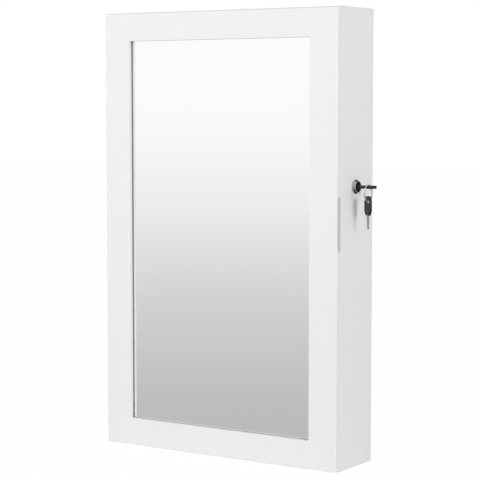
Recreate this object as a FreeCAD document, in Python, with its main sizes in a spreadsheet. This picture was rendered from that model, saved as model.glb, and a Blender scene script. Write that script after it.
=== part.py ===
# Jewelry mirror cabinet: a shallow lockable box that hangs on the wall, shut by a framed mirror door.
#
# Frame: millimetres, +Z up. The origin is on the underside of the box, in the middle of the cabinet's width
# and of its whole depth with the door shut. +X is to the right seen from the front, and -Y is the front,
# where the mirror is.
import FreeCAD, Part
import Sketcher
import os
import re

doc = FreeCAD.newDocument("jewelry_mirror_cabinet")
sheet = doc.addObject("Spreadsheet::Sheet", "Sizes")

SIZES = [
    # the whole cabinet
    ("cabinet_width", 370, "outside, without the lock"),
    ("cabinet_height", 600, "outside"),
    ("cabinet_depth", 95, "wall to the door's front face"),
    ("panel_thickness", 12, "sides, top and bottom"),
    ("edge_round", 1.2, "softened outer edges of the painted boards"),
    ("overshoot", 1, "cutting shapes beyond the faces that they open"),
    ("back_round", 1.6, "rounder outer edges of the sides, next to the wall"),
    # the door
    ("door_thickness", 10, "frame"),
    ("door_gap", 1, "between the door and the box"),
    ("door_reveal", 1, "door shorter than the box, at the top and at the bottom"),
    ("stile_width", 41, "upright frame members, at the front"),
    ("rail_width", 37.5, "level frame members, at the front"),
    ("glass_recess", 4.5, "mirror face behind the frame's face"),
    ("glass_thickness", 2.2, "mirror glass"),
    ("glass_room", 0.5, "glass to the rebate's edge, each side"),
    ("rebate_width", 7, "how far the frame laps over the glass"),
    ("pull_length", 72.5, "finger pull along the door's right edge"),
    ("pull_height", 322.5, "middle of the finger pull above the base"),
    ("pull_lip", 1.3, "frame left in front of the finger pull"),
    ("pull_reach", 9, "how deep the finger pull is cut"),
    ("pull_corner", 8.5, "corner radius of the finger pull"),
    ("door_liner_thickness", 2, "velvet board behind the mirror"),
    ("door_liner_lap", 5, "how far that board laps over the frame"),
    ("door_liner_screw_margin", 30, "first screws from the board's ends"),
    # back of the box and wall fixing
    ("back_inset", 12, "back panel in front of the wall"),
    ("back_thickness", 3, "back panel"),
    ("groove_depth", 5, "groove for the back panel"),
    ("groove_room", 0.15, "between the back panel and each side of its groove"),
    ("panel_room", 0.3, "ends of the back panel and of its liner to what is beside them"),
    ("back_liner_thickness", 1.2, "velvet on card in front of the back panel"),
    ("hanging_rail_height", 60, "rail that carries the cabinet on the wall"),
    ("lower_rail_height", 40, "rail that rests on the wall"),
    ("keyhole_spacing", 250, "between the two keyhole plates"),
    ("keyhole_drop", 48, "head hole below the top of the cabinet"),
    ("keyhole_head", 4.5, "radius that a wall screw's head goes through"),
    ("keyhole_neck", 2.25, "half width of the slot over the head hole"),
    ("keyhole_rise", 11, "slot end above the head hole"),
    ("keyhole_plate_width", 20, ""),
    ("keyhole_plate_height", 50, ""),
    ("keyhole_plate_thickness", 1.5, ""),
    ("keyhole_pocket", 7, "room for the wall screw's head behind the plate"),
    ("keyhole_screw_offset", 20, "plate screws above and below the plate's middle"),
    # hinges
    ("hinge_length", 50, ""),
    ("hinge_margin", 90, "hinge's middle from the top and from the base"),
    ("hinge_offset", 2.7, "hinge pin outside the cabinet's left side"),
    ("hinge_barrel", 2.5, "radius of the knuckles"),
    ("hinge_pin", 1.2, "radius"),
    ("pin_room", 0.05, "round the pin in the door's knuckle"),
    ("leaf_width", 10.5, ""),
    ("leaf_thickness", 1.2, ""),
    ("leaf_room", 0.05, "each leaf to the middle of the gap between door and box"),
    ("leaf_setback", 0.2, "leaves' outer edge inside the cabinet's left face"),
    ("leaf_bed_room", 0.1, "round a leaf in its recess"),
    ("knuckle_length", 15, "each of the box leaf's two knuckles"),
    ("knuckle_room", 0.2, "between knuckles"),
    ("hinge_screw_offset", 18, "leaf screws above and below the hinge's middle"),
    # screws and dowels
    ("screw_head", 2.1, "radius of a countersunk head"),
    ("screw_shank", 1.1, "radius"),
    ("screw_sink", 1.2, "depth of a countersunk head"),
    ("short_screw", 7, "length"),
    ("long_screw", 11, "length"),
    ("dowel_radius", 3, ""),
    ("dowel_reach", 8, "into the side panels"),
    ("dowel_tail", 12, "into the boards between them"),
    ("dowel_margin", 14, "dowels from the boards' front and rear edges"),
    # cam lock
    ("lock_height", 369, "lock's axis above the base"),
    ("lock_setback", 47.5, "lock's axis behind the door's front face"),
    ("flange_radius", 9.2, ""),
    ("flange_thickness", 3.5, ""),
    ("barrel_radius", 8, ""),
    ("barrel_length", 18, "inwards from the side panel's outer face"),
    ("barrel_room", 0.15, "round the barrel in the side panel"),
    ("plug_radius", 6, ""),
    ("plug_room", 0.05, "round the plug in the barrel"),
    ("plug_lip_radius", 7.2, "plug's front lip"),
    ("plug_lip", 1.2, "thickness of that lip"),
    ("nut_width", 21, "across the flats"),
    ("nut_thickness", 3.5, ""),
    ("tang_width", 6, "square end of the plug"),
    ("cam_thickness", 2, ""),
    ("cam_width", 8, ""),
    ("cam_reach", 34.2, "lock's axis to the hook's outer face"),
    ("cam_gap", 0.1, "cam to the barrel's end"),
    ("cam_heel", 1.5, "cam beyond its own half width, at the axis"),
    ("hook_thickness", 4.5, ""),
    ("hook_drop", 4.5, "hook beyond the cam's edge"),
    ("hook_slope", 3, "sloped corner of the hook"),
    ("cam_screw_head", 4, "radius"),
    ("cam_screw_head_thickness", 2, ""),
    ("cam_screw_shank", 1.6, "radius"),
    ("cam_screw_bite", 4, "inside the plug"),
    # keeper on the door
    ("keeper_plate", 1.5, "thickness of its metal"),
    ("keeper_width", 12, ""),
    ("keeper_height", 44, ""),
    ("keeper_reach", 13, "ears behind the door's back face"),
    ("keeper_screw_offset", 16, ""),
    ("rung_radius", 1.5, ""),
    ("rung_room", 0.6, "rung to the hook and to the cam's edge"),
    ("ear_height", 10, ""),
    # keys
    ("key_gap", 0.5, "key's head to the plug"),
    ("head_length", 25, ""),
    ("head_width", 18, ""),
    ("head_thickness", 3.6, ""),
    ("head_shoulder", 10, "width of the head where the blade leaves it"),
    ("shoulder_length", 6, ""),
    ("head_round", 8.6, "radius of the head's outer corners"),
    ("slot_length", 12.8, "slot for the ring"),
    ("slot_height", 3.2, ""),
    ("slot_edge", 5.3, "slot to the head's outer end"),
    ("slot_round", 1.4, ""),
    ("blade_width", 5.5, ""),
    ("blade_thickness", 1.2, ""),
    ("blade_length", 17.5, "beyond the head"),
    ("blade_corner", 1.5, "slope at the tip's plain corner"),
    ("blade_point", 2.4, "slope at the tip's cut corner"),
    ("cut_start", 5, "first cut behind the tip"),
    ("cut_width", 3, ""),
    ("cut_depth", 1.3, ""),
    ("blade_root", 8, "inside the head"),
    ("blade_room", 0.1, "round the blade in the plug"),
    ("ring_radius", 10.2, "middle of the ring's wire"),
    ("ring_wire", 1.2, "wire's thickness across the ring"),
    ("ring_width", 2, "both coils side by side"),
    ("ring_drop", 7.3, "ring's middle below the edge of the slot that it hangs on"),
    ("spare_room", 0.6, "spare key's slot over the ring's wire"),
    ("spare_turn", 39, "degrees: spare key turned from facing the front"),
    # inside of the box
    ("fittings_setback", 42.5, "front edges of the shelves behind the door's front face"),
    ("divider_left", 15, "left face of the upright divider from the middle"),
    ("board_thickness", 6, "divider and shelves"),
    ("upper_shelf_drop", 39, "its underside below the lock's axis"),
    ("middle_shelf", 220, "underside above the base"),
    ("lower_shelf", 112, "underside above the base"),
    ("guard_radius", 2, "guard rods"),
    ("guard_rise", 24, "guard rod above its shelf"),
    ("guard_setback", 4, "guard rod behind the shelf's front edge"),
    ("guard_seat", 3, "rod end inside its hole"),
    ("tray_over_lock", 67, "ring tray above the lock's axis"),
    ("tray_headroom", 6, "ring tray below the top panel"),
    ("tray_wall", 4, ""),
    ("tray_room", 0.3, "ring tray to the boards beside it"),
    ("roll_gap", 0.6, "between ring cushions"),
    ("roll_room", 0.3, "ring cushions to the tray"),
    ("necklace_rail_headroom", 22, "rail below the top panel"),
    ("necklace_rail_size", 16, "height"),
    ("necklace_rail_thickness", 12, ""),
    ("necklace_rail_room", 3, "rail's ends to the boards beside it"),
    ("hook_wire", 1.5, "radius"),
    ("hook_reach", 14, "straight part in front of the rail"),
    ("hook_bend", 3.5, "bend radius"),
    ("hook_tip", 9, "upright part"),
    ("hook_seat", 7, "inside the rail"),
    ("hook_margin", 14, "first and last hook from the rail's ends"),
    ("bracelet_rod_radius", 5, ""),
    ("bracelet_rod_height", 410, "above the base"),
    ("bracelet_rod_front", 14, "rod's axis behind the shelves' front edges"),
    ("bracelet_rod_room", 1, "rod's ends to the boards, inside its sockets"),
    ("socket_radius", 9, ""),
    ("socket_thickness", 5, ""),
    # magnetic catch
    ("catch_inset", 65, "its middle inside the cabinet's right face"),
    ("catch_length", 34, ""),
    ("catch_height", 11, ""),
    ("catch_depth", 14, ""),
    ("catch_gap", 0.2, "magnet to its plate"),
    ("catch_screw_offset", 12.5, ""),
    ("catch_screw_bite", 7, "inside the top panel"),
    ("magnet_length", 16, ""),
    ("magnet_height", 6, ""),
    ("magnet_depth", 7, ""),
    ("catch_plate_length", 24, ""),
    ("catch_plate_height", 9, ""),
    ("catch_plate_thickness", 1.2, ""),
    ("bumper_radius", 4, ""),
    ("bumper_thickness", 0.7, ""),
    ("bumper_margin", 40, "bumpers from the top and from the base"),
    # inside of the door
    ("earring_board_width", 250, ""),
    ("earring_board_headroom", 59, "board below the door's top"),
    ("earring_board_height", 250, ""),
    ("earring_board_thickness", 3, ""),
    ("spacer_depth", 10, "earring board in front of the door liner"),
    ("spacer_width", 9, ""),
    ("earring_slot_length", 62, ""),
    ("earring_slot_height", 2.2, ""),
    ("rack_width", 250, ""),
    ("rack_bottom", 70, "above the base"),
    ("rack_depth", 24, ""),
    ("rack_board", 4, ""),
    ("rack_front_height", 30, ""),
    ("rack_end_height", 46, ""),
]
HOOK_COUNT = 7
ROLL_COUNT = 7
SLOT_COLUMNS = 3
SLOT_ROWS = 9

for row, (alias, amount, note) in enumerate(SIZES, start=1):
    sheet.set(f"A{row}", alias)
    sheet.set(f"B{row}", str(amount))
    sheet.set(f"C{row}", note)
    sheet.setAlias(f"B{row}", alias)
doc.recompute()
ALIASES = {alias for alias, amount, note in SIZES}

# Planes that several pieces share, as formulas of the sizes.
SIDE = "cabinet_width / 2"
INNER_SIDE = "(cabinet_width / 2 - panel_thickness)"
DOOR_FRONT = "-cabinet_depth / 2"
DOOR_BACK = "(-cabinet_depth / 2 + door_thickness)"
BOX_FRONT = "(-cabinet_depth / 2 + door_thickness + door_gap)"
SEAM = "(-cabinet_depth / 2 + door_thickness + door_gap / 2)"
WALL = "cabinet_depth / 2"
BACK_REAR = "(cabinet_depth / 2 - back_inset)"
BACK_FRONT = "(cabinet_depth / 2 - back_inset - back_thickness)"
LINER_FRONT = "(cabinet_depth / 2 - back_inset - back_thickness - back_liner_thickness)"
INNER_TOP = "(cabinet_height - panel_thickness)"
DOOR_TOP = "(cabinet_height - door_reveal)"
FITTINGS_FRONT = "(-cabinet_depth / 2 + fittings_setback)"
DIVIDER_RIGHT = "(divider_left + board_thickness)"
LOCK_Y = "(-cabinet_depth / 2 + lock_setback)"
CATCH_MIDDLE = "(cabinet_width / 2 - catch_inset)"
UPPER_SHELF = "(lock_height - upper_shelf_drop)"
NECKLACE_RAIL_TOP = f"({INNER_TOP} - necklace_rail_headroom)"


def in_sheet(formula):
    """The formula with each size's name pointing at its cell."""
    def cell(word):
        return "Sizes." + word[0] if word[0] in ALIASES else word[0]

    return re.sub(r"[a-z][a-z_]+", cell, str(formula))


def amount_of(formula):
    """The formula's value, for first positions and for finding edges."""
    result = sheet.evalExpression(in_sheet(formula))
    return float(getattr(result, "Value", result))


def bind(thing, name, formula):
    thing.setExpression(name, in_sheet(formula))


def place(thing, x, y, z):
    for axis, formula in zip("xyz", (x, y, z)):
        bind(thing, f"Placement.Base.{axis}", formula)


def block(name, x, y, z):
    """A box between two planes along each axis."""
    box = doc.addObject("Part::Box", name)
    for side, (start, end) in zip(("Length", "Width", "Height"), (x, y, z)):
        bind(box, side, f"({end}) - ({start})")
    place(box, x[0], y[0], z[0])
    return box


TURN_TO = {
    "x": FreeCAD.Rotation(FreeCAD.Vector(0, 1, 0), 90),
    "y": FreeCAD.Rotation(FreeCAD.Vector(1, 0, 0), -90),
    "z": FreeCAD.Rotation(),
}


def rod(name, axis, radius, x, y, z, length):
    """A round bar that starts at x, y, z and runs along the axis."""
    bar = doc.addObject("Part::Cylinder", name)
    bar.Placement = FreeCAD.Placement(FreeCAD.Vector(), TURN_TO[axis])
    bind(bar, "Radius", radius)
    bind(bar, "Height", length)
    place(bar, x, y, z)
    return bar


def group(name, parts):
    compound = doc.addObject("Part::Compound", name)
    compound.Links = parts
    return compound


def joined(name, parts):
    fusion = doc.addObject("Part::MultiFuse", name)
    fusion.Shapes = parts
    return fusion


def cut(name, base, tools):
    """The base without its tools, which don't meet each other."""
    difference = doc.addObject("Part::Cut", name)
    difference.Base = base
    difference.Tool = tools[0] if len(tools) == 1 else group(name + "_cuts", tools)
    return difference


def new_body(name):
    body = doc.addObject("PartDesign::Body", name)
    return body


def new_sketch(body, role, offset="0"):
    """A sketch on one of the body's own origin planes, moved along the plane's normal."""
    sketch = body.newObject("Sketcher::SketchObject", body.Name + "_sketch")
    plane = [feature for feature in body.Origin.OriginFeatures if feature.Role == role][0]
    sketch.AttachmentSupport = [(plane, "")]
    sketch.MapMode = "FlatFace"
    bind(sketch, "AttachmentOffset.Base.z", offset)
    return sketch


def draw_outline(sketch, points):
    """A closed outline of straight lines; each corner is held at its own formulas."""
    corners = [FreeCAD.Vector(amount_of(across), amount_of(up), 0) for across, up in points]
    for here, there in zip(corners, corners[1:] + corners[:1]):
        sketch.addGeometry(Part.LineSegment(here, there), False)
    first = sketch.GeometryCount - len(points)
    for number, (across, up) in enumerate(points):
        line = first + number
        following = first + (number + 1) % len(points)
        sketch.addConstraint(Sketcher.Constraint("Coincident", line, 2, following, 1))
        for kind, formula in (("DistanceX", across), ("DistanceY", up)):
            index = sketch.addConstraint(Sketcher.Constraint(kind, line, 1, amount_of(formula)))
            bind(sketch, f"Constraints[{index}]", formula)


def draw_rectangle(sketch, across, up):
    draw_outline(sketch, [(across[0], up[0]), (across[1], up[0]), (across[1], up[1]), (across[0], up[1])])


def draw_circle(sketch, across, up, radius):
    centre = FreeCAD.Vector(amount_of(across), amount_of(up), 0)
    circle = Part.Circle(centre, FreeCAD.Vector(0, 0, 1), amount_of(radius))
    line = sketch.addGeometry(circle, False)
    for kind, formula in (("DistanceX", across), ("DistanceY", up)):
        index = sketch.addConstraint(Sketcher.Constraint(kind, line, 3, amount_of(formula)))
        bind(sketch, f"Constraints[{index}]", formula)
    index = sketch.addConstraint(Sketcher.Constraint("Radius", line, amount_of(radius)))
    bind(sketch, f"Constraints[{index}]", radius)


def pad(body, sketch, length, backwards=False):
    feature = body.newObject("PartDesign::Pad", body.Name + "_pad")
    feature.Profile = sketch
    feature.Reversed = backwards
    bind(feature, "Length", length)
    return feature


def pocket(body, sketch, length, backwards=False):
    """A cut; it has to take something away, so that one facing the wrong way is noticed."""
    doc.recompute()
    before = body.Shape.Volume
    feature = body.newObject("PartDesign::Pocket", body.Name + "_pocket")
    feature.Profile = sketch
    feature.Reversed = backwards
    bind(feature, "Length", length)
    doc.recompute()
    if body.Shape.Volume > before - 1e-6:
        raise RuntimeError(f"{body.Name}: a cut takes nothing away")
    return feature


def revolve(body, sketch, axis):
    feature = body.newObject("PartDesign::Revolution", body.Name + "_revolution")
    feature.Profile = sketch
    feature.ReferenceAxis = (sketch, [axis])
    feature.Angle = 360
    return feature


def edges_on(body, **planes):
    """Names of the edges whose ends lie on all the given planes."""
    doc.recompute()
    names = []
    for number, edge in enumerate(body.Tip.Shape.Edges, start=1):
        ends = [vertex.Point for vertex in edge.Vertexes]
        if all(abs(getattr(end, axis) - amount_of(at)) < 1e-4 for end in ends for axis, at in planes.items()):
            names.append(f"Edge{number}")
    return names


def round_edges(body, names, radius):
    if not names:
        raise RuntimeError(f"{body.Name}: no edge to round")
    sharp = body.Tip
    feature = body.newObject("PartDesign::Fillet", body.Name + "_round")
    feature.Base = (sharp, sorted(set(names)))
    bind(feature, "Radius", radius)
    doc.recompute()
    if not feature.isValid():
        raise RuntimeError(f"{body.Name}: an edge can't be rounded")
    return feature


def board(name, x, y, z):
    """A flat board, drawn in plan and raised."""
    body = new_body(name)
    plan = new_sketch(body, "XY_Plane", z[0])
    draw_rectangle(plan, x, y)
    pad(body, plan, f"({z[1]}) - ({z[0]})")
    return body


def turned(name, profile, x, y, z, rotation=FreeCAD.Rotation()):
    """A turned piece: a profile of (distance along, radius) revolved about its own X axis, then placed."""
    body = new_body(name)
    outline = new_sketch(body, "XY_Plane")
    draw_outline(outline, profile)
    revolve(body, outline, "H_Axis")
    body.Placement = FreeCAD.Placement(FreeCAD.Vector(), rotation)
    place(body, x, y, z)
    return body


POINT = {
    "+x": FreeCAD.Rotation(),
    "+y": FreeCAD.Rotation(FreeCAD.Vector(0, 0, 1), 90),
    "-y": FreeCAD.Rotation(FreeCAD.Vector(0, 0, 1), -90),
    "+z": FreeCAD.Rotation(FreeCAD.Vector(0, 1, 0), -90),
}


def screw(name, direction, x, y, z, length="short_screw"):
    """A countersunk screw with its head's face at x, y, z. Its threads are left plain."""
    profile = [("0", "0"), ("0", "screw_head"), ("screw_sink", "screw_shank")]
    profile += [(length, "screw_shank"), (length, "0")]
    return turned(name, profile, x, y, z, POINT[direction])


subparts = []


def keep(piece, node):
    piece.Label = node
    subparts.append(piece)
    return piece


# Dowels: fluted beech pegs, glued half in the side panels and half in the boards between them.
dowels = []
for side in (-1, 1):
    start = f"{INNER_SIDE} - dowel_tail" if side > 0 else f"-{INNER_SIDE} - dowel_reach"
    spots = [(f"{BOX_FRONT} + dowel_margin", "panel_thickness / 2")]
    spots.append((f"{BACK_FRONT} - dowel_margin", "panel_thickness / 2"))
    spots += [(y, "cabinet_height - panel_thickness / 2") for y, z in spots]
    spots += [(f"{WALL} - back_inset / 2", f"{INNER_TOP} - hanging_rail_height / 4")]
    spots += [(f"{WALL} - back_inset / 2", "panel_thickness + lower_rail_height / 2")]
    for number, (y, z) in enumerate(spots):
        radius = "dowel_radius"
        dowels.append(rod(f"dowel_{number}", "x", radius, start, y, z, "dowel_tail + dowel_reach"))
panel_dowels = keep(group("dowels", dowels), "panel_dowels")

# Guard rods: thin polished rods across the front of the shelves, their ends in shallow holes. The shelf beside
# the lock has none, to leave the lock its room.
guards = []
for number, (left, right, floor) in enumerate(
    [
        (DIVIDER_RIGHT, INNER_SIDE, "middle_shelf + board_thickness"),
        (DIVIDER_RIGHT, INNER_SIDE, "lower_shelf + board_thickness"),
        (f"-{INNER_SIDE}", "divider_left", "middle_shelf + board_thickness"),
        (f"-{INNER_SIDE}", "divider_left", "lower_shelf + board_thickness"),
        (f"-{INNER_SIDE}", "divider_left", "panel_thickness"),
        (DIVIDER_RIGHT, INNER_SIDE, "panel_thickness"),
    ]
):
    start, length = f"{left} - guard_seat", f"{right} - ({left}) + 2 * guard_seat"
    y, z = f"{FITTINGS_FRONT} + guard_setback", f"{floor} + guard_rise"
    guards.append(rod(f"guard_{number}", "x", "guard_radius", start, y, z, length))
guard_rods = keep(group("guards", guards), "guard_rods")

# Bracelet rod: a round bar across the left bay, its ends glued into turned sockets on the boards.
rod_y = f"{FITTINGS_FRONT} + bracelet_rod_front"
rod_start = f"-{INNER_SIDE} + bracelet_rod_room"
rod_length = f"{INNER_SIDE} + divider_left - 2 * bracelet_rod_room"
bracelet_rod = rod("bracelet", "x", "bracelet_rod_radius", rod_start, rod_y, "bracelet_rod_height", rod_length)
keep(bracelet_rod, "bracelet_rod")
sockets = [
    rod("left_socket", "x", "socket_radius", f"-{INNER_SIDE}", rod_y, "bracelet_rod_height", "socket_thickness"),
    rod("right_socket", "x", "socket_radius", "divider_left - socket_thickness", rod_y, "bracelet_rod_height",
        "socket_thickness"),
]
rod_sockets = keep(cut("sockets", group("socket_discs", sockets), [bracelet_rod]), "rod_sockets")

# Hinge screws: two through each leaf, into the door's stile and into the left side panel's front edge.
axis_x, axis_y = "(-cabinet_width / 2 - hinge_offset)", SEAM
hinge_heights = {"upper": "cabinet_height - hinge_margin", "lower": "hinge_margin"}
leaf_middle = "-cabinet_width / 2 + leaf_setback + leaf_width / 2"
body_side_screws, door_side_screws = [], []
for name, height in hinge_heights.items():
    for step in ("+", "-"):
        z = f"{height} {step} hinge_screw_offset"
        leaf_face = f"{axis_y} + leaf_room"
        body_side_screws.append(screw(name + "_box_screw", "+y", leaf_middle, leaf_face, z, "long_screw"))
        door_side_screws.append(screw(name + "_door_screw", "-y", leaf_middle, f"{axis_y} - leaf_room", z))
hinge_box_screws = keep(group("box_screws", body_side_screws), "hinge_box_screws")
hinge_door_screws = keep(group("door_screws", door_side_screws), "hinge_door_screws")

# Hinge leaves: pressed steel, rolled into knuckles round the pin and let into the wood.
# The box leaf has the outer two knuckles and holds the pin; the door leaf has the middle one.
leaf_beds = {"box": [], "door": []}
leaves = {"box": [], "door": []}
pins = []
for name, height in hinge_heights.items():
    bottom, top = f"({height} - hinge_length / 2)", f"({height} + hinge_length / 2)"
    pins.append(rod(name + "_pin", "z", "hinge_pin", axis_x, axis_y, bottom, "hinge_length"))
    sides = {
        "box": (f"{axis_y} + leaf_room", f"{axis_y} + leaf_room + leaf_thickness",
                [(bottom, f"{bottom} + knuckle_length"), (f"{top} - knuckle_length", top)], "hinge_pin"),
        "door": (f"{axis_y} - leaf_room - leaf_thickness", f"{axis_y} - leaf_room",
                 [(f"{bottom} + knuckle_length + knuckle_room", f"{top} - knuckle_length - knuckle_room")],
                 "hinge_pin + pin_room"),
    }
    for side, (near, far, knuckles, bore) in sides.items():
        plate_x = ("-cabinet_width / 2 + leaf_setback", "-cabinet_width / 2 + leaf_setback + leaf_width")
        pieces = [block(f"{name}_{side}_plate", plate_x, (near, far), (bottom, top))]
        for start, end in knuckles:
            pieces.append(block(f"{name}_{side}_tab", (axis_x, plate_x[0]), (near, far), (start, end)))
            length = f"({end}) - ({start})"
            pieces.append(rod(f"{name}_{side}_knuckle", "z", "hinge_barrel", axis_x, axis_y, start, length))
        eye = rod(f"{name}_{side}_eye", "z", bore, axis_x, axis_y, bottom, "hinge_length")
        rolled = cut(f"{name}_{side}_rolled", joined(f"{name}_{side}_sheet", pieces), [eye])
        screws = body_side_screws if side == "box" else door_side_screws
        leaves[side].append(cut(f"{name}_{side}_leaf", rolled, screws))
        bed_x = ("-cabinet_width / 2 - overshoot", plate_x[1] + " + leaf_bed_room")
        bed_z = (f"{bottom} - leaf_bed_room", f"{top} + leaf_bed_room")
        leaf_beds[side].append(block(f"{name}_{side}_bed", bed_x, (near, far), bed_z))
keep(group("pins", pins), "hinge_pins")
for side in leaves:
    keep(group(f"{side}_leaves", leaves[side]), f"hinge_{side}_leaves")

# Side panels: painted board, outer edges softened, grooved for the back panel. The right one carries the lock.
groove_y = (f"{BACK_FRONT} - groove_room", f"{BACK_REAR} + groove_room")
groove_z = ("panel_thickness - groove_depth", f"{INNER_TOP} + groove_depth")
side_panels = {}
for name, side in (("left", -1), ("right", 1)):
    edges = (f"-({SIDE})", f"-{INNER_SIDE}") if side < 0 else (INNER_SIDE, SIDE)
    panel = board(f"{name}_side", edges, (BOX_FRONT, WALL), ("0", "cabinet_height"))
    outer, inner = (edges[0], edges[1]) if side < 0 else (edges[1], edges[0])
    groove = new_sketch(panel, "YZ_Plane", inner)
    draw_rectangle(groove, groove_y, groove_z)
    pocket(panel, groove, "groove_depth", backwards=side > 0)
    round_edges(panel, edges_on(panel, x=outer, y=WALL), "back_round")
    soft = edges_on(panel, x=outer, y=BOX_FRONT)
    for level in ("0", "cabinet_height"):
        soft += edges_on(panel, x=outer, z=level)
        soft += edges_on(panel, y=BOX_FRONT, z=level) + edges_on(panel, y=WALL, z=level)
    round_edges(panel, soft, "edge_round")
    side_panels[name] = panel
lock_hole = new_sketch(side_panels["right"], "YZ_Plane", SIDE)
draw_circle(lock_hole, LOCK_Y, "lock_height", "barrel_radius + barrel_room")
pocket(side_panels["right"], lock_hole, "panel_thickness")
left_cuts = leaf_beds["box"] + body_side_screws + [panel_dowels, guard_rods]
left_side = cut("left_panel", side_panels["left"], left_cuts)
keep(left_side, "left_side_panel")
keep(cut("right_panel", side_panels["right"], [panel_dowels, guard_rods]), "right_side_panel")

# Top and bottom panels: between the sides, grooved for the back panel.
catch_x = (f"{CATCH_MIDDLE} - catch_length / 2", f"{CATCH_MIDDLE} + catch_length / 2")
catch_front = f"({DOOR_BACK} + catch_plate_thickness + catch_gap)"
catch_y = f"{catch_front} + catch_depth / 2"
catch_screws = [
    screw("catch_screw", "+z", f"{CATCH_MIDDLE} {step} catch_screw_offset", catch_y, f"{INNER_TOP} - catch_height",
          "catch_height + catch_screw_bite")
    for step in ("-", "+")
]
for name, bottom, outer, inner, into in (
    ("top", INNER_TOP, "cabinet_height", INNER_TOP, False),
    ("bottom", "0", "0", "panel_thickness", True),
):
    panel = board(f"{name}_board", (f"-{INNER_SIDE}", INNER_SIDE), (BOX_FRONT, WALL),
                  (bottom, f"{bottom} + panel_thickness"))
    groove = new_sketch(panel, "XY_Plane", inner)
    draw_rectangle(groove, (f"-{INNER_SIDE}", INNER_SIDE), groove_y)
    pocket(panel, groove, "groove_depth", backwards=not into)
    round_edges(panel, edges_on(panel, y=BOX_FRONT, z=outer) + edges_on(panel, y=WALL, z=outer), "edge_round")
    holes = [panel_dowels] + (catch_screws if name == "top" else [])
    keep(cut(f"{name}_panel_drilled", panel, holes), f"{name}_panel")

# Back panel: thin painted board that slides in the grooves.
back_x = (f"-{INNER_SIDE} - groove_depth + panel_room", f"{INNER_SIDE} + groove_depth - panel_room")
back_z = ("panel_thickness - groove_depth + panel_room", f"{INNER_TOP} + groove_depth - panel_room")
back_panel = board("back", back_x, (BACK_FRONT, BACK_REAR), back_z)
keep(back_panel, "back_panel")

# Back liner: black velvet on card, glued to the front of the back panel.
keep(board("liner", (f"-{INNER_SIDE} + panel_room", f"{INNER_SIDE} - panel_room"), (LINER_FRONT, BACK_FRONT),
           ("panel_thickness + panel_room", f"{INNER_TOP} - panel_room")), "back_liner")

# Keyhole plates: stamped steel, let in flush and screwed on. A wall screw's head goes through the round hole
# and its neck then slides up the slot, into the pocket that is bored in the rail behind.
plates, plate_screws, plate_beds = [], [], []
plate_middle = "(cabinet_height - keyhole_drop + keyhole_rise / 2)"
head_height = "(cabinet_height - keyhole_drop)"
for name, side in (("left", "-"), ("right", "")):
    middle = f"{side}keyhole_spacing / 2"
    for step in ("-", "+"):
        plate_screws.append(screw(f"{name}_plate_screw", "-y", middle, WALL,
                                  f"{plate_middle} {step} keyhole_screw_offset"))
    plate_x = (f"{middle} - keyhole_plate_width / 2", f"{middle} + keyhole_plate_width / 2")
    plate_y = (f"{WALL} - keyhole_plate_thickness", WALL)
    plate_z = (f"{plate_middle} - keyhole_plate_height / 2", f"{plate_middle} + keyhole_plate_height / 2")
    plate_beds.append(block(f"{name}_bed", plate_x, plate_y, plate_z))
    plates.append(block(f"{name}_blank", plate_x, plate_y, plate_z))
holes, pockets = [], []
for name, side in (("left", "-"), ("right", "")):
    middle = f"{side}keyhole_spacing / 2"
    for into, front, length in (
        (holes, f"{WALL} - keyhole_plate_thickness", "keyhole_plate_thickness"),
        (pockets, f"{WALL} - keyhole_plate_thickness - keyhole_pocket", "keyhole_pocket + keyhole_plate_thickness"),
    ):
        neck = "keyhole_neck" if into is holes else "keyhole_head"
        tools = [
            rod(f"{name}_head_hole", "y", "keyhole_head", middle, front, head_height, length),
            rod(f"{name}_neck_end", "y", neck, middle, front, f"{head_height} + keyhole_rise", length),
            block(f"{name}_neck", (f"{middle} - {neck}", f"{middle} + {neck}"), (front, WALL),
                  (head_height, f"{head_height} + keyhole_rise")),
        ]
        into.append(joined(f"{name}_keyhole", tools))
keep(cut("plates_cut", group("plate_blanks", plates), holes + plate_screws), "keyhole_plates")
keyhole_screws = keep(group("plate_screws", plate_screws), "keyhole_screws")

# Rails behind the back panel: the upper one carries the keyhole plates, the lower one rests on the wall.
rail_x = (f"-{INNER_SIDE}", INNER_SIDE)
upper_rail = board("upper_rail", rail_x, (BACK_REAR, WALL), (f"{INNER_TOP} - hanging_rail_height", INNER_TOP))
bored = cut("bored_rail", upper_rail, plate_beds)
keep(cut("hanging", bored, pockets + [keyhole_screws, panel_dowels]), "hanging_rail")
low_rail_z = ("panel_thickness", "panel_thickness + lower_rail_height")
lower_rail = board("low_rail", rail_x, (BACK_REAR, WALL), low_rail_z)
keep(cut("resting", lower_rail, [panel_dowels]), "lower_back_rail")

# Divider and shelves: thin velvet-covered boards, front edges level with each other.
inside_y = (FITTINGS_FRONT, LINER_FRONT)
divider = board("upright", ("divider_left", DIVIDER_RIGHT), inside_y, ("panel_thickness", INNER_TOP))
keep(cut("divider_drilled", divider, [guard_rods]), "divider")
for name, span, level in (
    ("upper_right", (DIVIDER_RIGHT, INNER_SIDE), UPPER_SHELF),
    ("middle_right", (DIVIDER_RIGHT, INNER_SIDE), "middle_shelf"),
    ("lower_right", (DIVIDER_RIGHT, INNER_SIDE), "lower_shelf"),
    ("middle_left", (f"-{INNER_SIDE}", "divider_left"), "middle_shelf"),
    ("lower_left", (f"-{INNER_SIDE}", "divider_left"), "lower_shelf"),
):
    keep(board(f"{name}_board", span, inside_y, (level, f"{level} + board_thickness")), f"{name}_shelf")

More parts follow.
